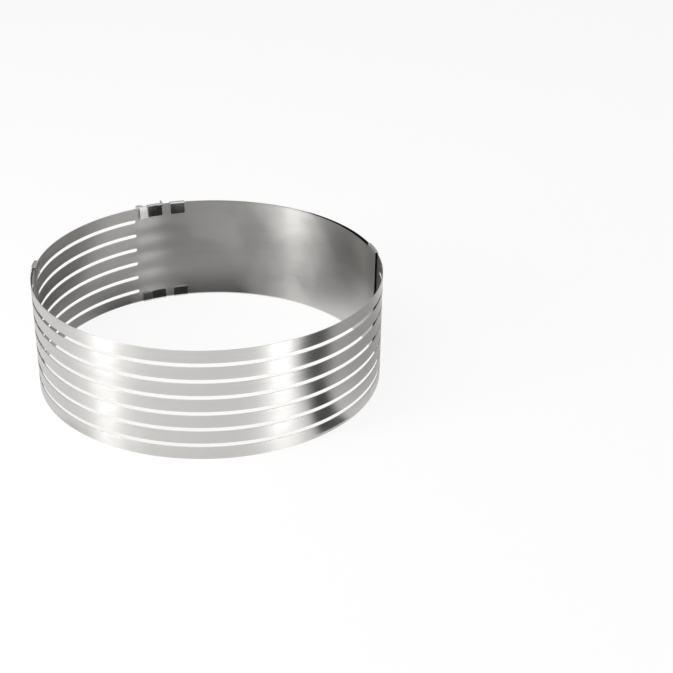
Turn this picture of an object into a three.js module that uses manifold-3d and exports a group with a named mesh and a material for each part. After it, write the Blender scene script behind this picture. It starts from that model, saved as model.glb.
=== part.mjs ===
// Adjustable cake ring: a slotted stainless band in two lengths, one sliding inside the other.
// Folded clips riveted to the outer band hold the rims of the inner band, a lock slide rides on
// the inner band beside them, and the slots guide level cuts. Millimetres, +Z up, with the ring's
// axis on Z and its lower rim on Z = 0. Angles run anticlockwise from +X, seen from above.
import * as THREE from 'three';
import { mergeVertices } from 'three/addons/utils/BufferGeometryUtils.js';
import Module from 'manifold-3d';

// Ring
const HEIGHT = 85;
const OUTER_RADIUS = 130;
const BAND_SHEET = 0.5;
const CLEARANCE = 0.3;
const RING_FACETS = 96;

// Slots
const SLOT_COUNT = 6;
const SLOT_HEIGHT = 3;
const SLOT_END_SIDES = 12;

// Where the bands end, in degrees
const NEAR_END_ANGLE = 112.15;
const OPEN_ANGLE = 59.85;
const TAIL_OVERLAP_ANGLE = 104.45;
const HEAD_OVERLAP_ANGLE = 20;

// Plain sheet between the slots and each band's ends: the bands lap over each other at the near
// end and the tail, and the slots run almost to the far end and the head
const LAP_PLAIN = 248;
const END_PLAIN = 8;

// Folded clips
const CLIP_SHEET = 0.6;
const CLIP_WIDTH = 12;
const CLIP_LEG = 9;
const CLIP_SPACING = 7.2;
const CLIP_END_MARGIN = 0.5;
const BEND_RADIUS = 0.7;
const BEND_STEPS = 3;

// Hook folded from the inner band's tail end
const HOOK_WIDTH = 17.5;
const HOOK_LEG = 6.5;

// The inner band's upper rim falls away gently from this angle to the hook
const TAPER_FROM_ANGLE = 51;
const TAPER_SLOPE = 1.3;

// Finger tab on the outer band
const TAB_FOOT_WIDTH = 14;
const TAB_FOOT_HEIGHT = 24;
const TAB_FOOT_DROP = 2;
const TAB_REACH = 8.2;
const TAB_CORNER = 1;
const TAB_CLIP_GAP = 1.1;
const CORNER_STEPS = 6;

// Lock slide on the inner band
const SLIDE_WIDTH = 7;
const SLIDE_GAP = 0.5;
const SLIDE_LEG = 9;
const SLIDE_SPLAY = 1.2;
const LIP_RADIUS = 2.8;
const LIP_TURN = 270;
const LIP_SET_BACK = 1.9;
const LIP_ROOT = 1;
const LIP_HEIGHT = 52;
const LIP_STEPS = 12;
const ROD_SIDES = 12;

// Rivets
const RIVET_SHANK = 2;
const RIVET_DOME_DIAMETER = 4;
const RIVET_DOME_HEIGHT = 1;
const RIVET_TAIL_DIAMETER = 3.6;
const RIVET_TAIL_HEIGHT = 0.5;
const RIVET_SPACING = 6;
const RIVET_SIDES = 10;
const DOME_STEPS = 2;
const TAB_RIVET_EDGE = 6;

// Radii of the layers, from the outside in
const outerBandInside = OUTER_RADIUS - BAND_SHEET;
const layerGap = CLEARANCE + RIVET_TAIL_HEIGHT + CLEARANCE;
const innerBandOutside = outerBandInside - layerGap;
const innerBandInside = innerBandOutside - BAND_SHEET;
const clipOuterFold = OUTER_RADIUS + CLEARANCE + CLIP_SHEET / 2;
const clipInnerFold = innerBandInside - CLEARANCE - CLIP_SHEET / 2;

// Heights of the strips between the slots and of the folds across the rims. The upper folds lie
// on the rims, and the lower ones lie in notches, so that the ring stands on its lower rim
const stripHeight = (HEIGHT - SLOT_COUNT * SLOT_HEIGHT) / (SLOT_COUNT + 1);
const notchDepth = CLIP_SHEET + CLEARANCE;
const upperBridge = HEIGHT + CLEARANCE + CLIP_SHEET / 2;
const lowerBridge = CLIP_SHEET / 2;

const degrees = (length, radius = OUTER_RADIUS) => THREE.MathUtils.radToDeg(length / radius);

const farEndAngle = NEAR_END_ANGLE + OPEN_ANGLE - 360;
const tailAngle = NEAR_END_ANGLE - TAIL_OVERLAP_ANGLE;
const headAngle = NEAR_END_ANGLE + OPEN_ANGLE + HEAD_OVERLAP_ANGLE;

const wasm = await Module();
wasm.setup();

function toSolid(geometry) {
  const bare = geometry.clone();
  bare.deleteAttribute('normal');
  bare.deleteAttribute('uv');
  const welded = mergeVertices(bare);
  return new wasm.Manifold(new wasm.Mesh({
    numProp: 3,
    vertProperties: welded.attributes.position.array,
    triVerts: new Uint32Array(welded.index.array),
  }));
}

function toGeometry(solid) {
  const mesh = solid.getMesh();
  const geometry = new THREE.BufferGeometry();
  geometry.setAttribute('position', new THREE.BufferAttribute(mesh.vertProperties, 3));
  geometry.setIndex(new THREE.BufferAttribute(mesh.triVerts, 1));
  geometry.computeVertexNormals();
  return geometry;
}

// A closed outline in radius and height turned all the way round the ring's axis.
function revolve(outline) {
  const closed = [...outline, outline[0]];
  return toSolid(new THREE.LatheGeometry(closed, RING_FACETS).rotateX(Math.PI / 2));
}

// A slice between two angles, wider and taller than the ring.
function wedge(from, to) {
  const reach = OUTER_RADIUS + HEIGHT;
  const start = THREE.MathUtils.degToRad(from);
  const slice = new THREE.Shape();
  slice.moveTo(0, 0);
  slice.lineTo(reach * Math.cos(start), reach * Math.sin(start));
  slice.absarc(0, 0, reach, start, THREE.MathUtils.degToRad(to), false);
  slice.closePath();
  const block = new THREE.ExtrudeGeometry(slice, {
    depth: 3 * HEIGHT,
    bevelEnabled: false,
    curveSegments: RING_FACETS,
  });
  return toSolid(block.translate(0, 0, -HEIGHT));
}

const turned = (outline, from, to) => revolve(outline).intersect(wedge(from, to));

function rectangle(inside, outside, bottom, top) {
  return [
    new THREE.Vector2(inside, bottom),
    new THREE.Vector2(outside, bottom),
    new THREE.Vector2(outside, top),
    new THREE.Vector2(inside, top),
  ];
}

// The outline of a sheet folded along a line through its middle, with rounded bends.
function folded(line, sheet) {
  const path = [];
  line.forEach((point, i) => {
    const before = i > 0 ? point.clone().sub(line[i - 1]).normalize() : null;
    const after = i < line.length - 1 ? line[i + 1].clone().sub(point).normalize() : null;
    const sideOf = (way) => new THREE.Vector2(-way.y, way.x);
    if (!before || !after) {
      path.push({ at: point, side: sideOf(before ?? after) });
      return;
    }
    const turn = Math.atan2(before.cross(after), before.dot(after));
    const setBack = BEND_RADIUS * Math.tan(Math.abs(turn) / 2);
    const start = point.clone().addScaledVector(before, -setBack);
    const centre = start.clone().addScaledVector(sideOf(before), Math.sign(turn) * BEND_RADIUS);
    for (let step = 0; step <= BEND_STEPS; step++) {
      const angle = (turn * step) / BEND_STEPS;
      const at = start.clone().rotateAround(centre, angle);
      path.push({ at, side: sideOf(before).rotateAround(new THREE.Vector2(), angle) });
    }
  });
  const edge = (sign) => path.map(({ at, side }) => at.clone().addScaledVector(side, (sign * sheet) / 2));
  return [...edge(-1), ...edge(1).reverse()];
}

// A shape drawn along +X, turned to an angle round the ring's axis and lifted to a height.
function placeRadially(geometry, angle, height) {
  return geometry.rotateZ(THREE.MathUtils.degToRad(angle)).translate(0, 0, height);
}

// A round hole pointing at the axis, between two radii.
function radialHole(diameter, sides, inside, outside, angle, height) {
  const drill = new THREE.CylinderGeometry(diameter / 2, diameter / 2, outside - inside, sides);
  drill.rotateZ(Math.PI / 2).translate((inside + outside) / 2, 0, 0);
  return toSolid(placeRadially(drill, angle, height));
}

// The slots of a band between two angles, with round ends.
function slots(from, to) {
  const half = degrees(SLOT_HEIGHT / 2);
  const inside = innerBandInside - BAND_SHEET;
  const outside = OUTER_RADIUS + BAND_SHEET;
  let cut = null;
  for (let i = 1; i <= SLOT_COUNT; i++) {
    const middle = i * (stripHeight + SLOT_HEIGHT) - SLOT_HEIGHT / 2;
    const section = rectangle(inside, outside, middle - SLOT_HEIGHT / 2, middle + SLOT_HEIGHT / 2);
    const slot = turned(section, from + half, to - half)
      .add(radialHole(SLOT_HEIGHT, SLOT_END_SIDES, inside, outside, from + half, middle))
      .add(radialHole(SLOT_HEIGHT, SLOT_END_SIDES, inside, outside, to - half, middle));
    cut = cut ? cut.add(slot) : slot;
  }
  return cut;
}

// Clips: each has a from and to angle, an upper or lower rim, and two rivet places.
const clipAngle = degrees(CLIP_WIDTH);
const clips = [];
function addClip(name, from, upper) {
  const middle = from + clipAngle / 2;
  const offset = degrees(RIVET_SPACING / 2);
  const rivetHeight = upper ? HEIGHT - stripHeight / 2 : stripHeight / 2;
  clips.push({
    name,
    from,
    to: from + clipAngle,
    upper,
    rivets: [middle - offset, middle + offset].map((angle) => ({ angle, height: rivetHeight })),
  });
}
const firstClipFrom = NEAR_END_ANGLE - degrees(CLIP_END_MARGIN) - clipAngle;
const secondClipFrom = firstClipFrom - degrees(CLIP_SPACING) - clipAngle;
const farClipFrom = farEndAngle + degrees(CLIP_END_MARGIN);
addClip('upper_clip_1', firstClipFrom, true);
addClip('upper_clip_2', secondClipFrom, true);
addClip('lower_clip_1', firstClipFrom, false);
addClip('lower_clip_2', secondClipFrom, false);
addClip('far_upper_clip', farClipFrom, true);
addClip('far_lower_clip', farClipFrom, false);

// A rivet's hole goes through the outer band and what is fixed to its outside.
function rivetHole({ angle, height }) {
  const inside = outerBandInside - layerGap / 2;
  const outside = OUTER_RADIUS + CLEARANCE + CLIP_SHEET + CLEARANCE;
  return radialHole(RIVET_SHANK + 2 * CLEARANCE, RIVET_SIDES, inside, outside, angle, height);
}

// A clip is a U over both rims: a riveted leg outside, a bridge across the rims, a leg inside.
function clipSolid({ from, to, upper, rivets }) {
  const legEnd = upper ? HEIGHT - CLIP_LEG : CLIP_LEG;
  const bridge = upper ? upperBridge : lowerBridge;
  const line = [
    new THREE.Vector2(clipOuterFold, legEnd),
    new THREE.Vector2(clipOuterFold, bridge),
    new THREE.Vector2(clipInnerFold, bridge),
    new THREE.Vector2(clipInnerFold, legEnd),
  ];
  return rivets.reduce(
    (solid, rivet) => solid.subtract(rivetHole(rivet)),
    turned(folded(line, CLIP_SHEET), from, to),
  );
}

// Finger tab: a foot curved to the band and a blade that stands out from it.
const tabSheet = CLIP_SHEET;
const tabAngle = firstClipFrom - degrees(TAB_CLIP_GAP + tabSheet / 2);
const footTop = HEIGHT - CLIP_LEG - TAB_FOOT_DROP;
const footBottom = footTop - TAB_FOOT_HEIGHT;
const footFrom = tabAngle - degrees(TAB_FOOT_WIDTH);
const tabRivetAngle = tabAngle - degrees(TAB_FOOT_WIDTH / 2);
const tabRivets = [footTop - TAB_RIVET_EDGE, footBottom + TAB_RIVET_EDGE].map((height) => ({
  angle: tabRivetAngle,
  height,
}));

function tabSolid() {
  const root = OUTER_RADIUS + CLEARANCE;
  const tip = root + TAB_REACH;
  const blade = new THREE.Shape();
  blade.moveTo(root, footBottom);
  blade.lineTo(tip - TAB_CORNER, footBottom);
  blade.absarc(tip - TAB_CORNER, footBottom + TAB_CORNER, TAB_CORNER, -Math.PI / 2, 0, false);
  blade.absarc(tip - TAB_CORNER, HEIGHT - TAB_CORNER, TAB_CORNER, 0, Math.PI / 2, false);
  blade.lineTo(root, HEIGHT);
  blade.closePath();
  const plate = new THREE.ExtrudeGeometry(blade, {
    depth: tabSheet,
    bevelEnabled: false,
    curveSegments: CORNER_STEPS,
  });
  plate.rotateX(Math.PI / 2).translate(0, tabSheet / 2, 0);
  const foot = turned(rectangle(root, root + tabSheet, footBottom, footTop), footFrom, tabAngle);
  return tabRivets.reduce(
    (solid, rivet) => solid.subtract(rivetHole(rivet)),
    foot.add(toSolid(placeRadially(plate, tabAngle, 0))),
  );
}

// Lock slide: a plate outside the inner band, folded over both of its rims into splayed legs. Its
// side is cut back between the folds and rolled round a rod into a lip.
const slideFrom = NEAR_END_ANGLE + degrees(SLIDE_GAP);
const slideTo = slideFrom + degrees(SLIDE_WIDTH);
const slideOuterFold = innerBandOutside + CLEARANCE + CLIP_SHEET / 2;
const lipAngle = slideTo - degrees(LIP_SET_BACK);
const rollMiddle = slideOuterFold + LIP_RADIUS;
const lipTop = upperBridge - BEND_RADIUS;
const lipBottom = lipTop - LIP_HEIGHT;

function slideSolid() {
  const line = [
    new THREE.Vector2(clipInnerFold - SLIDE_SPLAY, SLIDE_LEG),
    new THREE.Vector2(clipInnerFold, lowerBridge),
    new THREE.Vector2(slideOuterFold, lowerBridge),
    new THREE.Vector2(slideOuterFold, upperBridge),
    new THREE.Vector2(clipInnerFold, upperBridge),
    new THREE.Vector2(clipInnerFold - SLIDE_SPLAY, HEIGHT - SLIDE_LEG),
  ];
  const side = rectangle(slideOuterFold - CLIP_SHEET, slideOuterFold + CLIP_SHEET, lipBottom, lipTop);
  const channel = turned(folded(line, CLIP_SHEET), slideFrom, slideTo)
    .subtract(turned(side, lipAngle, slideTo + degrees(LIP_SET_BACK)));
  const lip = new THREE.Shape();
  const turn = THREE.MathUtils.degToRad(LIP_TURN);
  const rollOutside = LIP_RADIUS + CLIP_SHEET / 2;
  const rollInside = LIP_RADIUS - CLIP_SHEET / 2;
  lip.moveTo(-rollOutside, -LIP_ROOT);
  lip.lineTo(-rollOutside, 0);
  lip.absarc(0, 0, rollOutside, Math.PI, Math.PI - turn, true);
  lip.absarc(0, 0, rollInside, Math.PI - turn, Math.PI, false);
  lip.lineTo(-rollInside, -LIP_ROOT);
  lip.closePath();
  const roll = new THREE.ExtrudeGeometry(lip, {
    depth: LIP_HEIGHT,
    bevelEnabled: false,
    curveSegments: LIP_STEPS,
  });
  roll.translate(rollMiddle, 0, 0);
  return channel.add(toSolid(placeRadially(roll, lipAngle, lipBottom)));
}

// The rod that fills the lip.
function rodGeometry() {
  const radius = LIP_RADIUS - CLIP_SHEET / 2 - CLEARANCE;
  const rod = new THREE.CylinderGeometry(radius, radius, LIP_HEIGHT, ROD_SIDES);
  rod.rotateX(Math.PI / 2).translate(rollMiddle, 0, LIP_HEIGHT / 2);
  return placeRadially(rod, lipAngle, lipBottom);
}

function outerBandSolid() {
  let band = turned(rectangle(outerBandInside, OUTER_RADIUS, 0, HEIGHT), farEndAngle, NEAR_END_ANGLE);
  band = band.subtract(slots(farEndAngle + degrees(END_PLAIN), NEAR_END_ANGLE - degrees(LAP_PLAIN)));
  const notch = rectangle(outerBandInside - BAND_SHEET, OUTER_RADIUS + BAND_SHEET, -notchDepth, notchDepth);
  const margin = degrees(CLIP_END_MARGIN + CLEARANCE);
  for (const { from, to } of clips.filter((clip) => !clip.upper)) {
    band = band.subtract(turned(notch, from - margin, to + margin));
  }
  const rivets = [...clips.flatMap((clip) => clip.rivets), ...tabRivets];
  return rivets.reduce((solid, rivet) => solid.subtract(rivetHole(rivet)), band);
}

// All that lies above a plane that falls away clockwise from the rim.
function taperBlock() {
  const size = 2 * (OUTER_RADIUS + HEIGHT);
  const block = new THREE.BoxGeometry(size, size, HEIGHT).translate(0, 0, HEIGHT / 2);
  block.rotateX(THREE.MathUtils.degToRad(TAPER_SLOPE));
  return toSolid(placeRadially(block, TAPER_FROM_ANGLE, HEIGHT));
}

// The inner band's lower rim stands above the lower bridges, and its tail end is folded over the
// outer band's upper rim.
function innerBandSolid() {
  const wall = rectangle(innerBandInside, innerBandOutside, notchDepth, HEIGHT);
  const band = turned(wall, tailAngle, headAngle).subtract(taperBlock());
  const cut = slots(tailAngle + degrees(LAP_PLAIN), headAngle - degrees(END_PLAIN));
  const wallFold = (innerBandInside + innerBandOutside) / 2;
  const hookFold = OUTER_RADIUS + CLEARANCE + BAND_SHEET / 2;
  const hookTop = HEIGHT + CLEARANCE + BAND_SHEET / 2;
  const line = [
    new THREE.Vector2(wallFold, HEIGHT - stripHeight),
    new THREE.Vector2(wallFold, hookTop),
    new THREE.Vector2(hookFold, hookTop),
    new THREE.Vector2(hookFold, HEIGHT - HOOK_LEG),
  ];
  const hook = turned(folded(line, BAND_SHEET), tailAngle, tailAngle + degrees(HOOK_WIDTH));
  return band.subtract(cut).add(hook);
}

// A rivet with a domed head outside and a flat tail in the gap between the bands.
function rivetGeometry({ angle, height }) {
  const tailFace = innerBandOutside + CLEARANCE;
  const tailTop = tailFace + RIVET_TAIL_HEIGHT;
  const domeFace = OUTER_RADIUS + CLEARANCE + CLIP_SHEET + CLEARANCE;
  const profile = [
    new THREE.Vector2(0, tailFace),
    new THREE.Vector2(RIVET_TAIL_DIAMETER / 2, tailFace),
    new THREE.Vector2(RIVET_TAIL_DIAMETER / 2, tailTop),
    new THREE.Vector2(RIVET_SHANK / 2, tailTop),
    new THREE.Vector2(RIVET_SHANK / 2, domeFace),
  ];
  for (let step = 0; step < DOME_STEPS; step++) {
    const rise = (step / DOME_STEPS) * (Math.PI / 2);
    profile.push(new THREE.Vector2(
      (Math.cos(rise) * RIVET_DOME_DIAMETER) / 2,
      domeFace + Math.sin(rise) * RIVET_DOME_HEIGHT,
    ));
  }
  profile.push(new THREE.Vector2(0, domeFace + RIVET_DOME_HEIGHT));
  const rivet = new THREE.LatheGeometry(profile, RIVET_SIDES).rotateZ(-Math.PI / 2);
  return placeRadially(rivet, angle, height);
}

const ring = new THREE.Group();
const steel = (colour, roughness) => (
  new THREE.MeshStandardMaterial({ color: colour, roughness, metalness: 1 })
);
function addPiece(name, geometry, material) {
  const mesh = new THREE.Mesh(geometry, material);
  mesh.name = name;
  ring.add(mesh);
}

function addRivets(owner, rivets) {
  rivets.forEach((rivet, i) => {
    addPiece(`rivet_${owner}_${i + 1}`, rivetGeometry(rivet), steel(0xb9b7b3, 0.3));
  });
}

addPiece('outer_band', toGeometry(outerBandSolid()), steel(0xc9c6c1, 0.32));
addPiece('inner_band', toGeometry(innerBandSolid()), steel(0xbfbcb8, 0.34));
addPiece('lock_slide', toGeometry(slideSolid()), steel(0xd2d0cc, 0.28));
addPiece('lip_rod', rodGeometry(), steel(0xb9b7b3, 0.3));
addPiece('finger_tab', toGeometry(tabSolid()), steel(0xc4c2be, 0.3));
addRivets('finger_tab', tabRivets);
for (const clip of clips) {
  addPiece(clip.name, toGeometry(clipSolid(clip)), steel(0xcfccc8, 0.26));
  addRivets(clip.name, clip.rivets);
}

export default ring;
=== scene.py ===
import math

import bmesh
import bpy
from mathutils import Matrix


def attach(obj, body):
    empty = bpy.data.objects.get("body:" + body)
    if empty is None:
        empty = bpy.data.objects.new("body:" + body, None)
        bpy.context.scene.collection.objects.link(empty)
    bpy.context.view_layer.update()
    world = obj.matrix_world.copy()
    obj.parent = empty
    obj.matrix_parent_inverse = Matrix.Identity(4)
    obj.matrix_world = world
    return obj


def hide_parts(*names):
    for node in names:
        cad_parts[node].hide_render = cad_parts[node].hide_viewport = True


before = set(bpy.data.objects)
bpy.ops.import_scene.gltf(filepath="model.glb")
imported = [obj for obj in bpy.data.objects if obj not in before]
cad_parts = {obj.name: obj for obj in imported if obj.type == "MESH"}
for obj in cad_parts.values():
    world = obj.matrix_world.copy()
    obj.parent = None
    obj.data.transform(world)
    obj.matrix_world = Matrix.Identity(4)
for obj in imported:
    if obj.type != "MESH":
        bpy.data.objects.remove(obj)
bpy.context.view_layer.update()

# Camera
# It stands in front of the ring, about a metre off, and looks down on it by some 28 degrees.
# The ring fills the left half of a square picture.
CAMERA_PLACE = (0.0, -0.92674, 0.5206)
CAMERA_TURN = (61.8991, -0.9674, -5.4447)
SENSOR_WIDTH = 36
LENS = 73.18

bpy.ops.object.select_all(action="DESELECT")
bpy.ops.object.camera_add(
    location=CAMERA_PLACE,
    rotation=[math.radians(angle) for angle in CAMERA_TURN],
)
camera = bpy.context.object
camera.data.sensor_width = SENSOR_WIDTH
camera.data.lens = LENS
bpy.context.scene.camera = camera
bpy.context.scene.view_settings.view_transform = "Standard"

# Table, room and light
# A plain white table that takes the ring's soft shadow, in a white room with one soft lamp above and
# a soft box at each side. Grey cards that only the steel sees give it something to mirror.
WHITE = (1.0, 1.0, 1.0, 1.0)
TABLE_COLOUR = (0.9, 0.9, 0.89, 1.0)
TABLE_SIZE = 8
TABLE_GLOW = 0.85
ROOM_LIGHT = 0.55
CARD_HALF = 0.5
CARD_FADE = 0.3
LYING = 0
STANDING = 90


def add_node(tree, kind, settings=None, inputs=None):
    """A shader node with its settings, and its inputs set to values or joined to outputs."""
    made = tree.nodes.new(kind)
    for name, value in (settings or {}).items():
        setattr(made, name, value)
    for name, value in (inputs or {}).items():
        if isinstance(value, bpy.types.NodeSocket):
            tree.links.new(value, made.inputs[name])
        else:
            made.inputs[name].default_value = value
    return made


def math_node(tree, operation, first, second=0.0):
    """The result of a sum on one or two values or outputs."""
    return add_node(tree, "ShaderNodeMath", {"operation": operation}, {0: first, 1: second}).outputs[0]


def soft_step(tree, value, start, stop):
    """Rises smoothly from nought at the start to one at the stop."""
    return add_node(
        tree,
        "ShaderNodeMapRange",
        {"interpolation_type": "SMOOTHSTEP"},
        {"Value": value, "From Min": start, "From Max": stop},
    ).outputs[0]


def empty_tree(owner):
    """The node tree of a new material or world, with nothing in it."""
    owner.use_nodes = True
    owner.node_tree.nodes.clear()
    return owner.node_tree


def seen_plainly(tree):
    """One for rays from the camera, from steel or through glass, and nought for rays of light."""
    path = add_node(tree, "ShaderNodeLightPath")
    mirrored = math_node(tree, "MAXIMUM", path.outputs["Is Camera Ray"], path.outputs["Is Glossy Ray"])
    return math_node(tree, "MAXIMUM", mirrored, path.outputs["Is Transmission Ray"])


room = bpy.data.worlds.new("white_room")
bpy.context.scene.world = room
tree = empty_tree(room)
room_strength = add_node(
    tree,
    "ShaderNodeMapRange",
    inputs={"Value": seen_plainly(tree), "To Min": ROOM_LIGHT, "To Max": 1.0},
)
room_light = add_node(
    tree,
    "ShaderNodeBackground",
    inputs={"Color": WHITE, "Strength": room_strength.outputs[0]},
)
add_node(tree, "ShaderNodeOutputWorld", inputs={"Surface": room_light.outputs[0]})

bpy.ops.mesh.primitive_plane_add(size=TABLE_SIZE)
table = bpy.context.object
table.name = "table_top"
table_white = bpy.data.materials.new("table_white")
tree = empty_tree(table_white)
table_paint = add_node(tree, "ShaderNodeBsdfDiffuse", inputs={"Color": TABLE_COLOUR})
table_glow = add_node(tree, "ShaderNodeEmission", inputs={"Color": WHITE})
glow_share = math_node(tree, "MULTIPLY", seen_plainly(tree), TABLE_GLOW)
table_mix = add_node(
    tree,
    "ShaderNodeMixShader",
    inputs={0: glow_share, 1: table_paint.outputs[0], 2: table_glow.outputs[0]},
)
add_node(tree, "ShaderNodeOutputMaterial", inputs={"Surface": table_mix.outputs[0]})
table.data.materials.append(table_white)


def soft_lamp(name, place, width, height, power):
    """A rectangular lamp that faces the middle of the ring."""
    bpy.ops.object.light_add(type="AREA", location=place)
    lamp = bpy.context.object
    lamp.name = name
    lamp.visible_camera = False
    lamp.data.shape = "RECTANGLE"
    lamp.data.size = width
    lamp.data.size_y = height
    lamp.data.energy = power
    lamp.rotation_euler = (-lamp.location).to_track_quat("-Z", "Y").to_euler()


soft_lamp("top_lamp", (-0.6, -0.45, 1.4), width=1.2, height=1.2, power=10.0)
soft_lamp("left_box", (-1.07, -0.52, 0.3), width=0.36, height=0.9, power=12.0)
soft_lamp("right_box", (0.8, -0.89, 0.05), width=0.38, height=0.1, power=4.8)


def paint_card(card, grey, fade):
    """Makes a flat piece of the stage a grey card with soft edges that only mirrored rays see."""
    card.visible_camera = False
    card.visible_diffuse = False
    card.visible_transmission = False
    card.visible_volume_scatter = False
    card.visible_shadow = False
    paint = bpy.data.materials.new(card.name)
    tree = empty_tree(paint)
    place = add_node(tree, "ShaderNodeTexCoord").outputs["Object"]
    across = add_node(tree, "ShaderNodeSeparateXYZ", inputs={0: place})
    cover = 1.0
    for side in ("X", "Y"):
        from_middle = math_node(tree, "ABSOLUTE", across.outputs[side])
        inside = soft_step(tree, from_middle, CARD_HALF, CARD_HALF - fade)
        cover = math_node(tree, "MULTIPLY", cover, inside)
    clear = add_node(tree, "ShaderNodeBsdfTransparent")
    glow = add_node(tree, "ShaderNodeEmission", inputs={"Color": (grey, grey, grey, 1.0)})
    mixed = add_node(
        tree,
        "ShaderNodeMixShader",
        inputs={0: cover, 1: clear.outputs[0], 2: glow.outputs[0]},
    )
    add_node(tree, "ShaderNodeOutputMaterial", inputs={"Surface": mixed.outputs[0]})
    card.data.materials.append(paint)


def grey_card(name, lean, place, size, grey, turn=0, fade=CARD_FADE):
    """A card of a width and a height that lies on the table or stands, turned about its upright."""
    bpy.ops.object.select_all(action="DESELECT")
    bpy.ops.mesh.primitive_plane_add(
        size=1,
        location=place,
        rotation=(math.radians(lean), 0, math.radians(turn)),
    )
    card = bpy.context.object
    card.name = name
    card.scale = (*size, 1)
    paint_card(card, grey, fade)


grey_card("dark_near_card", LYING, (0.113, -0.1135, 0.0021), (0.12, 0.042), grey=0.01, turn=-31)
grey_card("dark_floor_card", LYING, (0.213, -0.177, 0.002), (0.2, 0.105), grey=0.01, turn=-31, fade=0.2)
grey_card("dark_card", STANDING, (0.195, -0.164, 0.28), (0.12, 0.9), grey=0.01, turn=55, fade=0.15)
grey_card("grey_floor_card", LYING, (0.25, -0.02, 0.001), (0.3, 0.32), grey=0.45)
grey_card("grey_card", STANDING, (0.42, 0.12, 0.13), (0.6, 0.4), grey=0.45, turn=90)
grey_card("corner_card", STANDING, (0.2, 0.62, 0.08), (0.7, 0.5), grey=0.15, turn=165)
grey_card("back_card", STANDING, (0.0, 1.5, 0.9), (2.4, 1.6), grey=0.5)
grey_card("back_left_card", STANDING, (-0.5, 0.55, 0.35), (0.8, 0.7), grey=0.1, turn=45, fade=0.2)
grey_card("back_floor_card", LYING, (-0.13, 0.28, 0.001), (0.4, 0.36), grey=0.42)
grey_card("inside_back_card", LYING, (-0.03, 0.105, 0.0015), (0.26, 0.1), grey=0.03)
grey_card("inside_left_card", LYING, (-0.068, 0.045, 0.0016), (0.14, 0.13), grey=0.35)
grey_card("inside_middle_card", LYING, (0.058, -0.042, 0.0017), (0.1, 0.09), grey=0.01, fade=0.2)
grey_card("inside_floor_card", LYING, (-0.015, -0.005, 0.0012), (0.2, 0.2), grey=0.12, fade=0.15)
grey_card("inside_light_card", LYING, (0.034, 0.0695, 0.0019), (0.17, 0.024), grey=1.0, turn=-17)

# Outer band
# A springy strip of brushed stainless sheet that makes the outside of the ring. Six slots that guide
# level cuts are punched along it, and its lower rim is notched where the lower clips fold over it.
MM = 0.001
HEIGHT = 85 * MM
OUTER_RADIUS = 130 * MM
BAND_SHEET = 0.5 * MM
CLEARANCE = 0.3 * MM
SLOT_COUNT = 6
SLOT_HEIGHT = 3 * MM
SLOT_END_CUTS = 7
SLOT_LAND = 1.5 * MM
CLIP_SHEET = 0.6 * MM
CLIP_WIDTH = 12 * MM
CLIP_SPACING = 7.2 * MM
CLIP_END_MARGIN = 0.5 * MM
NEAR_END = 112.15
FAR_END = -188.0
LAP_PLAIN = 248 * MM
END_PLAIN = 8 * MM
SWEEP_STEP = 1.5
SHEET_EDGE = 0.1 * MM
EDGE_CUTS = 2
EDGE_ANGLE = 50
SMOOTH_ANGLE = 60
PLACE_SLACK = 0.004 * MM
TURN_SLACK = 0.004
ALL_ROUND = (0, 360)
LEFT_HALF = (90, 270)
ALL_HEIGHTS = ((-1, 1),)
ALL_RADII = (0, 1)

notch_depth = CLIP_SHEET + CLEARANCE
strip_height = (HEIGHT - SLOT_COUNT * SLOT_HEIGHT) / (SLOT_COUNT + 1)
slot_middles = [n * (strip_height + SLOT_HEIGHT) - SLOT_HEIGHT / 2 for n in range(1, SLOT_COUNT + 1)]
slot_rows = [(middle - SLOT_HEIGHT / 2, middle + SLOT_HEIGHT / 2) for middle in slot_middles]


def turn_of(length, radius=OUTER_RADIUS):
    """The angle in degrees that a length takes up round the ring."""
    return math.degrees(length / radius)


clip_turn = turn_of(CLIP_WIDTH)
clip_1_from = NEAR_END - turn_of(CLIP_END_MARGIN) - clip_turn
clip_2_from = clip_1_from - turn_of(CLIP_SPACING) - clip_turn
far_clip_from = FAR_END + turn_of(CLIP_END_MARGIN)


def pick(kind, turn=ALL_ROUND, rows=ALL_HEIGHTS, radius=ALL_RADII):
    """Selects what lies wholly between two angles and two radii, and inside one of the rows."""

    def inside(corners):
        for corner in corners:
            at = math.degrees(math.atan2(corner.co.y, corner.co.x)) - turn[0] + TURN_SLACK
            if at % 360 > turn[1] - turn[0] + 2 * TURN_SLACK:
                return False
            reach = math.hypot(corner.co.x, corner.co.y)
            if not radius[0] - PLACE_SLACK <= reach <= radius[1] + PLACE_SLACK:
                return False
        low = min(corner.co.z for corner in corners) + PLACE_SLACK
        high = max(corner.co.z for corner in corners) - PLACE_SLACK
        return any(row[0] <= low and high <= row[1] for row in rows)

    bpy.ops.mesh.select_mode(type=kind)
    bpy.ops.mesh.select_all(action="DESELECT")
    mesh = bpy.context.edit_object.data
    shape = bmesh.from_edit_mesh(mesh)
    parts = {"VERT": shape.verts, "EDGE": shape.edges, "FACE": shape.faces}[kind]
    for part in parts:
        if inside([part] if kind == "VERT" else part.verts):
            part.select_set(True)
    shape.select_flush_mode()
    bmesh.update_edit_mesh(mesh)


def turn_selected(angle):
    """Turns what is selected anticlockwise round the ring's axis."""
    bpy.ops.transform.rotate(
        value=-math.radians(angle),
        orient_axis="Z",
        orient_type="GLOBAL",
        center_override=(0, 0, 0),
    )


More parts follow.
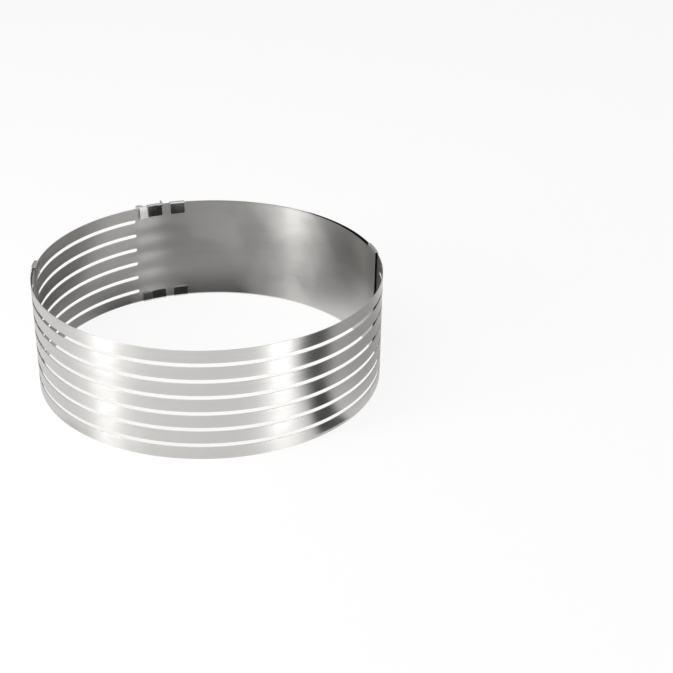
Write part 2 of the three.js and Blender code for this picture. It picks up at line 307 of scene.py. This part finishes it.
def swept_sheet(name, radius, bottom, top, stops):
    """An upright edge swept round the ring's axis from the first stop to the last, in edit mode."""
    height = top - bottom
    bpy.ops.object.select_all(action="DESELECT")
    bpy.ops.mesh.primitive_plane_add(size=height)
    sheet = bpy.context.object
    sheet.name = name
    bpy.ops.object.mode_set(mode="EDIT")
    pick("VERT", turn=LEFT_HALF)
    bpy.ops.mesh.delete(type="VERT")
    bpy.ops.mesh.select_all(action="SELECT")
    bpy.ops.transform.rotate(
        value=math.radians(90),
        orient_axis="X",
        orient_type="GLOBAL",
        center_override=(0, 0, 0),
    )
    bpy.ops.transform.translate(value=(radius - height / 2, 0, bottom + height / 2))
    turn_selected(stops[0])
    for start, stop in zip(stops, stops[1:]):
        bpy.ops.mesh.spin(
            steps=max(1, math.ceil((stop - start) / SWEEP_STEP)),
            angle=math.radians(stop - start),
            center=(0, 0, 0),
            axis=(0, 0, -1),
        )
    return sheet


def cut_rows(heights):
    """Cuts the sheet along level lines."""
    for height in heights:
        bpy.ops.mesh.select_all(action="SELECT")
        bpy.ops.mesh.bisect(plane_co=(0, 0, height), plane_no=(0, 0, 1))


def punch_slots(start, stop, radius):
    """Takes the slots out of a band's sheet and rounds their ends."""
    half = SLOT_HEIGHT / 2
    first = start + turn_of(half)
    last = stop - turn_of(half)
    pick("FACE", turn=(first, last), rows=slot_rows)
    bpy.ops.mesh.delete(type="FACE")
    for end, way in ((first, -1), (last, 1)):
        pick("EDGE", turn=(end, end), rows=slot_rows)
        bpy.ops.mesh.subdivide(number_cuts=SLOT_END_CUTS)
        for cut in range(1, SLOT_END_CUTS + 1):
            share = cut / (SLOT_END_CUTS + 1)
            rise = share * SLOT_HEIGHT
            swing = math.radians(180 * share - 90)
            pick("VERT", turn=(end, end), rows=[(row[0] + rise, row[0] + rise) for row in slot_rows])
            bpy.ops.transform.translate(value=(0, 0, half + half * math.sin(swing) - rise))
            turn_selected(way * turn_of(half * math.cos(swing), radius))


def roll_out_sheet(sheet, thickness):
    """Gives a flat sheet its thickness and small rounded edges, and leaves edit mode."""
    bpy.ops.mesh.select_all(action="SELECT")
    bpy.ops.mesh.remove_doubles(threshold=PLACE_SLACK)
    bpy.ops.mesh.normals_make_consistent(inside=False)
    bpy.ops.object.mode_set(mode="OBJECT")
    wall = sheet.modifiers.new("thickness", "SOLIDIFY")
    wall.thickness = thickness
    wall.offset = 0
    wall.use_even_offset = True
    edge = sheet.modifiers.new("edges", "BEVEL")
    edge.width = SHEET_EDGE
    edge.segments = EDGE_CUTS
    edge.limit_method = "ANGLE"
    edge.angle_limit = math.radians(EDGE_ANGLE)
    shine = sheet.modifiers.new("flat_shine", "WEIGHTED_NORMAL")
    shine.mode = "FACE_AREA"
    for name in ("thickness", "edges"):
        bpy.ops.object.modifier_apply(modifier=name)
    bpy.ops.object.shade_smooth_by_angle(angle=math.radians(SMOOTH_ANGLE))
    bpy.ops.object.modifier_apply(modifier="flat_shine")


notch_margin = turn_of(CLIP_END_MARGIN + CLEARANCE)
notches = [
    (FAR_END, far_clip_from + clip_turn + notch_margin),
    (clip_2_from - notch_margin, clip_2_from + clip_turn + notch_margin),
    (clip_1_from - notch_margin, NEAR_END),
]
slots_from = FAR_END + turn_of(END_PLAIN)
slots_to = NEAR_END - turn_of(LAP_PLAIN)
outer_middle = OUTER_RADIUS - BAND_SHEET / 2
stops = [
    FAR_END,
    NEAR_END,
    slots_from - turn_of(SLOT_LAND),
    slots_from + turn_of(SLOT_HEIGHT / 2),
    slots_to - turn_of(SLOT_HEIGHT / 2),
    slots_to + turn_of(SLOT_LAND),
]
for notch in notches:
    stops.extend(notch)
stops = sorted(set(stops))
outer_band = swept_sheet("slotted_outer_band", outer_middle, 0, HEIGHT, stops)
cut_rows([notch_depth])
for row in slot_rows:
    cut_rows(row)
for notch in notches:
    pick("FACE", turn=notch, rows=[(0, notch_depth)])
    bpy.ops.mesh.delete(type="FACE")
punch_slots(slots_from, slots_to, outer_middle)
roll_out_sheet(outer_band, BAND_SHEET)

STEEL_DARK = (0.53, 0.52, 0.505, 1.0)
STEEL_LIGHT = (0.61, 0.6, 0.585, 1.0)
BAND_BRUSHING = (5, 5, 620)
BAND_ROUGHNESS = (0.3, 0.42)
BAND_SPREAD = 0.8
SPREAD_TURN = 0.25
GRAIN = {"Scale": 1.0, "Detail": 5.0, "Roughness": 0.65}
HAND_MARKS = {"Scale": 26.0, "Detail": 4.0, "Distortion": 0.6}
HAND_MARK_RANGE = (0.4, 0.72)
HAIRLINES = {"Scale": 0.37, "Detail": 8.0, "Roughness": 0.8}
HAIRLINE_RANGE = {"From Min": 0.62, "From Max": 0.7}
SHEET_WAVES = {"Scale": 11.0, "Detail": 1.0}
SHINE_RANGE = {"From Min": 0.2, "From Max": 1.6}
WAVE_DEPTH = {"Strength": 0.5, "Distance": 0.2 * MM}
BRUSHING_DEPTH = {"Strength": 0.35, "Distance": 0.02 * MM}
LEVEL = (1, 1, 0)
MIX_SHARE = 0
MIX_FIRST = 6
MIX_SECOND = 7
MIX_RESULT = 2
# Painted shade: a near-black tone mixed into the outer band's inside where the gap between the bands lies
# in shade.
PAINTED_SHADE_COLOUR = (0.03, 0.03, 0.032, 1.0)
PAINTED_SHADE_INSIDE = 0.8
# Painted shade just under the outer band's rim, over the shaded gap above the inner band.
RIM_GAP_SHADE = {"share": 1.0, "heights": (81.5 * MM, 83 * MM), "turns": ((9, 13), (54, 47))}
# Fainter painted shade over the outer band's whole height just past the inner band's tail end, where its
# inside lies in shade.
TAIL_END_SHADE = {"share": 0.55, "heights": (-1 * MM, 0), "turns": ((-8, 0), (13, 9))}


def brushed_finish():
    """Grain along the brushing, soft hand marks, fine scratches and a slight waviness of the sheet."""
    group = bpy.data.node_groups.new("brushed_finish", "ShaderNodeTree")
    for name in ("Place", "Stretch"):
        group.interface.new_socket(name, in_out="INPUT", socket_type="NodeSocketVector")
    for name in ("Grain", "Marks", "Scratches", "Wave"):
        group.interface.new_socket(name, in_out="OUTPUT", socket_type="NodeSocketFloat")
    given = add_node(group, "NodeGroupInput")
    place = given.outputs["Place"]
    along = add_node(
        group,
        "ShaderNodeVectorMath",
        {"operation": "MULTIPLY"},
        {0: place, 1: given.outputs["Stretch"]},
    ).outputs[0]
    grain = add_node(group, "ShaderNodeTexNoise", inputs={"Vector": along, **GRAIN})
    marks = add_node(group, "ShaderNodeTexNoise", inputs={"Vector": place, **HAND_MARKS})
    hairlines = add_node(group, "ShaderNodeTexNoise", inputs={"Vector": along, **HAIRLINES})
    scratches = add_node(
        group,
        "ShaderNodeMapRange",
        inputs={"Value": hairlines.outputs[0], **HAIRLINE_RANGE},
    )
    wave = add_node(group, "ShaderNodeTexNoise", inputs={"Vector": place, **SHEET_WAVES})
    add_node(
        group,
        "NodeGroupOutput",
        inputs={
            "Grain": grain.outputs[0],
            "Marks": soft_step(group, marks.outputs[0], *HAND_MARK_RANGE),
            "Scratches": scratches.outputs[0],
            "Wave": wave.outputs[0],
        },
    )
    return group


finish_group = brushed_finish()


def lap_painted_shade(tree, place):
    """One where shade is painted onto the inside of the outer band: along the shaded gap over the inner
    band's rim, beside and beyond the hook, and more faintly where the outer band shows past the inner
    band's tail end.
    """
    along = add_node(tree, "ShaderNodeSeparateXYZ", inputs={0: place}).outputs
    flat = add_node(
        tree,
        "ShaderNodeVectorMath",
        {"operation": "MULTIPLY"},
        {0: place, 1: LEVEL},
    ).outputs[0]
    reach = add_node(tree, "ShaderNodeVectorMath", {"operation": "LENGTH"}, {0: flat}).outputs["Value"]
    turn = math_node(tree, "ARCTAN2", along["Y"], along["X"])
    inside = soft_step(tree, reach, OUTER_RADIUS, OUTER_RADIUS - BAND_SHEET * PAINTED_SHADE_INSIDE)
    painted_shade = 0.0
    for patch in (RIM_GAP_SHADE, TAIL_END_SHADE):
        cover = math_node(tree, "MULTIPLY", inside, patch["share"])
        cover = math_node(tree, "MULTIPLY", cover, soft_step(tree, along["Z"], *patch["heights"]))
        for start, stop in patch["turns"]:
            end = soft_step(tree, turn, math.radians(start), math.radians(stop))
            cover = math_node(tree, "MULTIPLY", cover, end)
        painted_shade = math_node(tree, "MAXIMUM", painted_shade, cover)
    return painted_shade


def mix_colours(tree, share, first, second):
    """The first colour where the share is nought, and the second where it is one."""
    mixed = add_node(
        tree,
        "ShaderNodeMix",
        {"data_type": "RGBA"},
        {MIX_SHARE: share, MIX_FIRST: first, MIX_SECOND: second},
    )
    return mixed.outputs[MIX_RESULT]


def steel(name, stretch, tones, roughness, spread=0.0, painted_shade=None):
    """A stainless steel brushed along the stretch, between two tones and between two roughnesses, with
    painted shade mixed into its tone where a shade mask is given.
    """
    material = bpy.data.materials.new(name)
    tree = empty_tree(material)
    place = add_node(tree, "ShaderNodeTexCoord").outputs["Object"]
    finish = add_node(
        tree,
        "ShaderNodeGroup",
        {"node_tree": finish_group},
        {"Place": place, "Stretch": stretch},
    )
    tone = mix_colours(tree, finish.outputs["Grain"], *tones)
    # Painted shade: the tone goes to near black where the shade mask is one.
    if painted_shade:
        tone = mix_colours(tree, painted_shade(tree, place), tone, PAINTED_SHADE_COLOUR)
    shine = math_node(tree, "ADD", finish.outputs["Marks"], finish.outputs["Grain"])
    sheen = add_node(
        tree,
        "ShaderNodeMapRange",
        inputs={"Value": shine, **SHINE_RANGE, "To Min": roughness[0], "To Max": roughness[1]},
    )
    waves = add_node(
        tree,
        "ShaderNodeBump",
        inputs={"Height": finish.outputs["Wave"], **WAVE_DEPTH},
    )
    lines = math_node(tree, "SUBTRACT", finish.outputs["Grain"], finish.outputs["Scratches"])
    brushing = add_node(
        tree,
        "ShaderNodeBump",
        inputs={"Height": lines, "Normal": waves.outputs[0], **BRUSHING_DEPTH},
    )
    surface = add_node(
        tree,
        "ShaderNodeBsdfPrincipled",
        inputs={
            "Base Color": tone,
            "Metallic": 1.0,
            "Roughness": sheen.outputs[0],
            "Anisotropic": spread,
            "Anisotropic Rotation": SPREAD_TURN,
            "Normal": brushing.outputs[0],
        },
    )
    add_node(tree, "ShaderNodeOutputMaterial", inputs={"Surface": surface.outputs[0]})
    return material


band_tones = (STEEL_DARK, STEEL_LIGHT)
# The outer band's steel carries the painted shade of the gap between the bands.
outer_steel = steel("outer_band_steel", BAND_BRUSHING, band_tones, BAND_ROUGHNESS, BAND_SPREAD, lap_painted_shade)


def fit_piece(piece, node, body, material):
    """Gives a finished piece its steel, and lets it stand for a solid and move with its body."""
    piece.data.materials.clear()
    piece.data.materials.append(material)
    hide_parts(node)
    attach(piece, body)


fit_piece(outer_band, "outer_band", "outer_ring", outer_steel)

# Inner band
# A second slotted strip that slides round inside the outer one. Its lower rim stands above the lower
# clips, its upper rim falls away gently towards its tail end, and there a tongue is folded outwards
# over the outer rim as a hook.
RIVET_TAIL_HEIGHT = 0.5 * MM
TAIL_END = 7.7
HEAD_END = 192.0
HOOK_WIDTH = 17.5 * MM
HOOK_LEG = 6.5 * MM
HOOK_BEND = 0.5 * MM
BEND_CUTS = 5
TAPER_FROM = 51.0
TAPER_SLOPE = 1.3

layer_gap = CLEARANCE + RIVET_TAIL_HEIGHT + CLEARANCE
inner_outside = OUTER_RADIUS - BAND_SHEET - layer_gap
inner_middle = inner_outside - BAND_SHEET / 2
inner_inside = inner_outside - BAND_SHEET
hook_turn = turn_of(HOOK_WIDTH)
hook_middle = OUTER_RADIUS + CLEARANCE + BAND_SHEET / 2
hook_top = HEIGHT + CLEARANCE + BAND_SHEET / 2


def push_edge(rise):
    """Extrudes the selected edge straight up or down."""
    bpy.ops.mesh.extrude_region_move(TRANSFORM_OT_translate={"value": (0, 0, rise)})


def draw_edge(old_radius, new_radius):
    """Extrudes the selected edge level, towards the ring's axis or away from it."""
    grow = new_radius / old_radius
    bpy.ops.mesh.extrude_region_move(TRANSFORM_OT_translate={"value": (0, 0, 0)})
    bpy.ops.transform.resize(value=(grow, grow, 1), orient_type="GLOBAL", center_override=(0, 0, 0))


def round_fold(turn, radius, height, bend):
    """Rounds a level fold line of a sheet."""
    pick("EDGE", turn=turn, rows=[(height, height)], radius=(radius, radius))
    bpy.ops.mesh.bevel(offset=bend, segments=BEND_CUTS, affect="EDGES")


inner_from = TAIL_END + turn_of(LAP_PLAIN)
inner_to = HEAD_END - turn_of(END_PLAIN)
hook_span = (TAIL_END, TAIL_END + hook_turn)
stops = [
    TAIL_END,
    hook_span[1],
    TAPER_FROM,
    inner_from - turn_of(SLOT_LAND),
    inner_from + turn_of(SLOT_HEIGHT / 2),
    inner_to - turn_of(SLOT_HEIGHT / 2),
    inner_to + turn_of(SLOT_LAND),
    HEAD_END,
]
inner_band = swept_sheet("slotted_inner_band", inner_middle, notch_depth, HEIGHT, sorted(stops))
for row in slot_rows:
    cut_rows(row)
punch_slots(inner_from, inner_to, inner_middle)
taper_turn = math.radians(TAPER_FROM)
taper_slope = math.radians(TAPER_SLOPE)
pick("FACE", turn=(hook_span[1], TAPER_FROM))
bpy.ops.mesh.bisect(
    plane_co=(inner_middle * math.cos(taper_turn), inner_middle * math.sin(taper_turn), HEIGHT),
    plane_no=(
        math.sin(taper_slope) * math.sin(taper_turn),
        -math.sin(taper_slope) * math.cos(taper_turn),
        math.cos(taper_slope),
    ),
)
pick("FACE", turn=(hook_span[1], TAPER_FROM), rows=[(HEIGHT - strip_height / 2, HEIGHT)])
bpy.ops.mesh.delete(type="FACE")
pick("EDGE", turn=hook_span, rows=[(HEIGHT, HEIGHT)])
push_edge(hook_top - HEIGHT)
draw_edge(inner_middle, hook_middle)
push_edge(HEIGHT - HOOK_LEG - hook_top)
round_fold(hook_span, inner_middle, hook_top, HOOK_BEND)
round_fold(hook_span, hook_middle, hook_top, HOOK_BEND)
roll_out_sheet(inner_band, BAND_SHEET)
inner_steel = steel("inner_band_steel", BAND_BRUSHING, band_tones, BAND_ROUGHNESS, BAND_SPREAD)
fit_piece(inner_band, "inner_band", "inner_ring", inner_steel)

# Clips
# Six strips of bright sheet, each folded to a U over both rims. The outer leg is riveted to the outer
# band, the bridge lies across the rims, and the inner leg holds the inner band where it slides.
CLIP_LEG = 9 * MM
BEND_RADIUS = 0.7 * MM
CLIP_CORNER = 1.2 * MM
CLIP_CORNER_CUTS = 5
CLIP_DARK = (0.66, 0.65, 0.63, 1.0)
CLIP_LIGHT = (0.77, 0.76, 0.74, 1.0)
CLIP_GRAIN = (420, 420, 60)
CLIP_ROUGHNESS = (0.08, 0.18)
CLIP_SPREAD = 0.2

clip_outer = OUTER_RADIUS + CLEARANCE + CLIP_SHEET / 2
clip_inner = inner_inside - CLEARANCE - CLIP_SHEET / 2
upper_bridge = HEIGHT + CLEARANCE + CLIP_SHEET / 2
lower_bridge = CLIP_SHEET / 2
clip_tones = (CLIP_DARK, CLIP_LIGHT)
clip_steel = steel("bright_clip_steel", CLIP_GRAIN, clip_tones, CLIP_ROUGHNESS, CLIP_SPREAD)


def round_corners(corners, size, cuts):
    """Rounds the sheet corners that lie at the given angles, heights and radii."""
    for turn, height, radius in corners:
        pick("VERT", turn=(turn, turn), rows=[(height, height)], radius=(radius, radius))
        bpy.ops.mesh.bevel(offset=size, segments=cuts, affect="VERTICES")


def fold_clip(name, leg_end):
    """A clip folded over both upper rims, with legs that reach down to the given height."""
    span = (-clip_turn / 2, clip_turn / 2)
    clip = swept_sheet(name, clip_outer, leg_end, upper_bridge, [span[0], 0, span[1]])
    pick("EDGE", turn=span, rows=[(upper_bridge, upper_bridge)])
    draw_edge(clip_outer, clip_inner)
    push_edge(leg_end - upper_bridge)
    round_fold(span, clip_outer, upper_bridge, BEND_RADIUS)
    round_fold(span, clip_inner, upper_bridge, BEND_RADIUS)
    corners = [(turn, leg_end, radius) for turn in span for radius in (clip_outer, clip_inner)]
    round_corners(corners, CLIP_CORNER, CLIP_CORNER_CUTS)
    roll_out_sheet(clip, CLIP_SHEET)
    return clip


flip_rise = upper_bridge + lower_bridge
upper_clip_model = fold_clip("upper_clip_model", HEIGHT - CLIP_LEG)
lower_clip_model = fold_clip("lower_clip_model", flip_rise - CLIP_LEG)


def place_copy(model, name, turn, rise=0.0, upside_down=False):
    """A copy of a finished model with its own mesh, turned round the ring's axis and lifted."""
    bpy.ops.object.select_all(action="DESELECT")
    model.select_set(True)
    bpy.context.view_layer.objects.active = model
    bpy.ops.object.duplicate(linked=False)
    copy = bpy.context.object
    copy.name = name
    copy.rotation_euler = (math.pi if upside_down else 0, 0, math.radians(turn))
    copy.location = (0, 0, rise)
    bpy.ops.object.transform_apply(location=True, rotation=True, scale=True)
    return copy


clip_places = {
    "upper_clip_1": (clip_1_from, False),
    "upper_clip_2": (clip_2_from, False),
    "lower_clip_1": (clip_1_from, True),
    "lower_clip_2": (clip_2_from, True),
    "far_upper_clip": (far_clip_from, False),
    "far_lower_clip": (far_clip_from, True),
}
for name, (start, lower) in clip_places.items():
    model = lower_clip_model if lower else upper_clip_model
    rise = flip_rise if lower else 0
    clip = place_copy(model, "folded_" + name, start + clip_turn / 2, rise, upside_down=lower)
    fit_piece(clip, name, "outer_ring", clip_steel)
for model in (upper_clip_model, lower_clip_model):
    bpy.data.objects.remove(model)

# Rivets
# Small steel rivets with domed heads outside and flat tails in the gap between the bands. Two hold
# each clip on the outer band and two hold the finger tab.
RIVET_SHANK = 1.0 * MM
RIVET_HEAD = 2.0 * MM
RIVET_TAIL = 1.8 * MM
RIVET_SPACING = 6 * MM
HEAD_HEIGHT = 1.3 * MM
HEAD_RIM = 0.15 * MM
HEAD_CUTS = 7
RIVET_SIDES = 32
ROUND_SMOOTH_ANGLE = 40
RIVET_DARK = (0.6, 0.59, 0.57, 1.0)
RIVET_LIGHT = (0.72, 0.71, 0.69, 1.0)
RIVET_GRAIN = (240, 240, 240)
RIVET_ROUGHNESS = (0.22, 0.36)

head_face = OUTER_RADIUS + CLEARANCE + CLIP_SHEET
tail_face = inner_outside + CLEARANCE
bpy.ops.object.select_all(action="DESELECT")
bpy.ops.mesh.primitive_circle_add(
    vertices=RIVET_SIDES,
    radius=RIVET_TAIL,
    fill_type="NGON",
    location=(tail_face, 0, 0),
    rotation=(0, math.radians(90), 0),
)
rivet_model = bpy.context.object
rivet_model.name = "rivet_model"
bpy.ops.object.transform_apply(location=True, rotation=True, scale=True)
profile = [
    (tail_face + RIVET_TAIL_HEIGHT, RIVET_TAIL),
    (tail_face + RIVET_TAIL_HEIGHT, RIVET_SHANK),
    (head_face, RIVET_SHANK),
    (head_face, RIVET_HEAD),
    (head_face + HEAD_RIM, RIVET_HEAD),
]
for cut in range(1, HEAD_CUTS):
    swing = math.radians(90 * cut / HEAD_CUTS)
    rise = HEAD_RIM + (HEAD_HEIGHT - HEAD_RIM) * math.sin(swing)
    profile.append((head_face + rise, RIVET_HEAD * math.cos(swing)))
bpy.ops.object.mode_set(mode="EDIT")
bpy.ops.mesh.select_all(action="SELECT")
at, width = tail_face, RIVET_TAIL
for next_at, next_width in profile:
    bpy.ops.mesh.extrude_region_move(TRANSFORM_OT_translate={"value": (next_at - at, 0, 0)})
    grow = next_width / width
    bpy.ops.transform.resize(value=(1, grow, grow), orient_type="GLOBAL", center_override=(next_at, 0, 0))
    at, width = next_at, next_width
bpy.ops.mesh.select_all(action="SELECT")
bpy.ops.mesh.normals_make_consistent(inside=False)
bpy.ops.object.mode_set(mode="OBJECT")
bpy.ops.object.shade_smooth_by_angle(angle=math.radians(ROUND_SMOOTH_ANGLE))

rivet_steel = steel("satin_rivet_steel", RIVET_GRAIN, (RIVET_DARK, RIVET_LIGHT), RIVET_ROUGHNESS)


def set_rivet(owner, number, turn, height):
    """Sets one rivet through the outer band at an angle and a height."""
    node = f"rivet_{owner}_{number}"
    rivet = place_copy(rivet_model, "set_" + node, turn, height)
    fit_piece(rivet, node, "outer_ring", rivet_steel)


for name, (start, lower) in clip_places.items():
    rivet_height = strip_height / 2 if lower else HEIGHT - strip_height / 2
    middle = start + clip_turn / 2
    set_rivet(name, 1, middle - turn_of(RIVET_SPACING / 2), rivet_height)
    set_rivet(name, 2, middle + turn_of(RIVET_SPACING / 2), rivet_height)

# Finger tab
# A strip bent to an L. Its foot follows the outer band and is riveted to it beside the first clip,
# and its blade stands out from the ring as a stop for a finger.
TAB_FOOT_WIDTH = 14 * MM
TAB_FOOT_HEIGHT = 24 * MM
TAB_FOOT_DROP = 2 * MM
TAB_REACH = 8.2 * MM
TAB_CORNER = 1 * MM
TAB_CORNER_CUTS = 8
TAB_RELIEF = 1.1 * MM
TAB_CLIP_GAP = 1.1 * MM
TAB_RIVET_EDGE = 6 * MM

tab_turn = clip_1_from - turn_of(TAB_CLIP_GAP + CLIP_SHEET / 2)
foot_from = tab_turn - turn_of(TAB_FOOT_WIDTH)
foot_top = HEIGHT - CLIP_LEG - TAB_FOOT_DROP
foot_bottom = foot_top - TAB_FOOT_HEIGHT
blade_tip = OUTER_RADIUS + CLEARANCE + TAB_REACH
blade_relief = clip_outer + TAB_RELIEF
finger_tab = swept_sheet("bent_finger_tab", clip_outer, foot_bottom, foot_top, [foot_from, tab_turn])
draw_edge(clip_outer, blade_relief)
draw_edge(blade_relief, blade_tip)
pick("EDGE", turn=(tab_turn, tab_turn), rows=[(foot_top, foot_top)], radius=(blade_relief, blade_tip))
push_edge(HEIGHT - foot_top)
pick("EDGE", turn=(tab_turn, tab_turn), rows=[(foot_bottom, foot_top)], radius=(clip_outer, clip_outer))
bpy.ops.mesh.bevel(offset=BEND_RADIUS, segments=BEND_CUTS, affect="EDGES")
blade_corners = [(tab_turn, foot_bottom, blade_tip), (tab_turn, HEIGHT, blade_tip)]
round_corners(blade_corners, TAB_CORNER, TAB_CORNER_CUTS)
foot_corners = [(foot_from, foot_bottom, clip_outer), (foot_from, foot_top, clip_outer)]
round_corners(foot_corners, CLIP_CORNER, CLIP_CORNER_CUTS)
roll_out_sheet(finger_tab, CLIP_SHEET)
fit_piece(finger_tab, "finger_tab", "outer_ring", clip_steel)
tab_middle = tab_turn - turn_of(TAB_FOOT_WIDTH / 2)
set_rivet("finger_tab", 1, tab_middle, foot_top - TAB_RIVET_EDGE)
set_rivet("finger_tab", 2, tab_middle, foot_bottom + TAB_RIVET_EDGE)
bpy.data.objects.remove(rivet_model)

# Lock slide
# A narrow plate outside the inner band, folded over both of its rims so that it runs along them. Its
# side is cut back and rolled outwards round a rod into a bead that a finger pushes.
SLIDE_WIDTH = 7 * MM
SLIDE_GAP = 0.5 * MM
SLIDE_LEG = 9 * MM
SLIDE_SPLAY = 1.2 * MM
LIP_RADIUS = 2.8 * MM
LIP_TURN = 270
LIP_SET_BACK = 1.9 * MM
LIP_HEIGHT = 52 * MM
LIP_STEPS = 24
ROD_SIDES = 40
ROD_GAP = 0.05 * MM
ROD_EDGE = 0.1 * MM
ROD_EDGE_CUTS = 3
SLIDE_ROUGHNESS = (0.3, 0.42)

slide_from = NEAR_END + turn_of(SLIDE_GAP)
slide_to = slide_from + turn_of(SLIDE_WIDTH)
slide_span = (slide_from, slide_to)
slide_outer = inner_outside + CLEARANCE + CLIP_SHEET / 2
lip_turn = slide_to - turn_of(LIP_SET_BACK)
lip_top = upper_bridge - BEND_RADIUS
lip_row = (lip_top - LIP_HEIGHT, lip_top)
slide_stops = [slide_from, lip_turn, slide_to]
lock_slide = swept_sheet("rolled_lock_slide", slide_outer, lower_bridge, upper_bridge, slide_stops)
cut_rows(lip_row)
pick("FACE", turn=(lip_turn, slide_to), rows=[lip_row])
bpy.ops.mesh.delete(type="FACE")
for height, leg_end in ((upper_bridge, HEIGHT - SLIDE_LEG), (lower_bridge, SLIDE_LEG)):
    pick("EDGE", turn=slide_span, rows=[(height, height)])
    draw_edge(slide_outer, clip_inner)
    push_edge(leg_end - height)
    splay = (clip_inner - SLIDE_SPLAY) / clip_inner
    bpy.ops.transform.resize(value=(splay, splay, 1), orient_type="GLOBAL", center_override=(0, 0, 0))
    round_fold(slide_span, slide_outer, height, BEND_RADIUS)
    round_fold(slide_span, clip_inner, height, BEND_RADIUS)
pick("EDGE", turn=(lip_turn, lip_turn), rows=[lip_row], radius=(slide_outer, slide_outer))
roll_radius = slide_outer + LIP_RADIUS
roll_x = roll_radius * math.cos(math.radians(lip_turn))
roll_y = roll_radius * math.sin(math.radians(lip_turn))
bpy.ops.mesh.spin(
    steps=LIP_STEPS,
    angle=math.radians(LIP_TURN),
    center=(roll_x, roll_y, 0),
    axis=(0, 0, 1),
)
roll_out_sheet(lock_slide, CLIP_SHEET)
slide_steel = steel("satin_slide_steel", CLIP_GRAIN, clip_tones, SLIDE_ROUGHNESS)
fit_piece(lock_slide, "lock_slide", "slide", slide_steel)

bpy.ops.object.select_all(action="DESELECT")
bpy.ops.mesh.primitive_cylinder_add(
    vertices=ROD_SIDES,
    radius=LIP_RADIUS - CLIP_SHEET / 2 - ROD_GAP,
    depth=LIP_HEIGHT,
    location=(roll_x, roll_y, lip_top - LIP_HEIGHT / 2),
)
lip_rod = bpy.context.object
lip_rod.name = "round_lip_rod"
bpy.ops.object.transform_apply(location=True, rotation=True, scale=True)
edge = lip_rod.modifiers.new("edges", "BEVEL")
edge.width = ROD_EDGE
edge.segments = ROD_EDGE_CUTS
edge.limit_method = "ANGLE"
edge.angle_limit = math.radians(EDGE_ANGLE)
bpy.ops.object.modifier_apply(modifier="edges")
bpy.ops.object.shade_smooth_by_angle(angle=math.radians(ROUND_SMOOTH_ANGLE))
fit_piece(lip_rod, "lip_rod", "slide", rivet_steel)
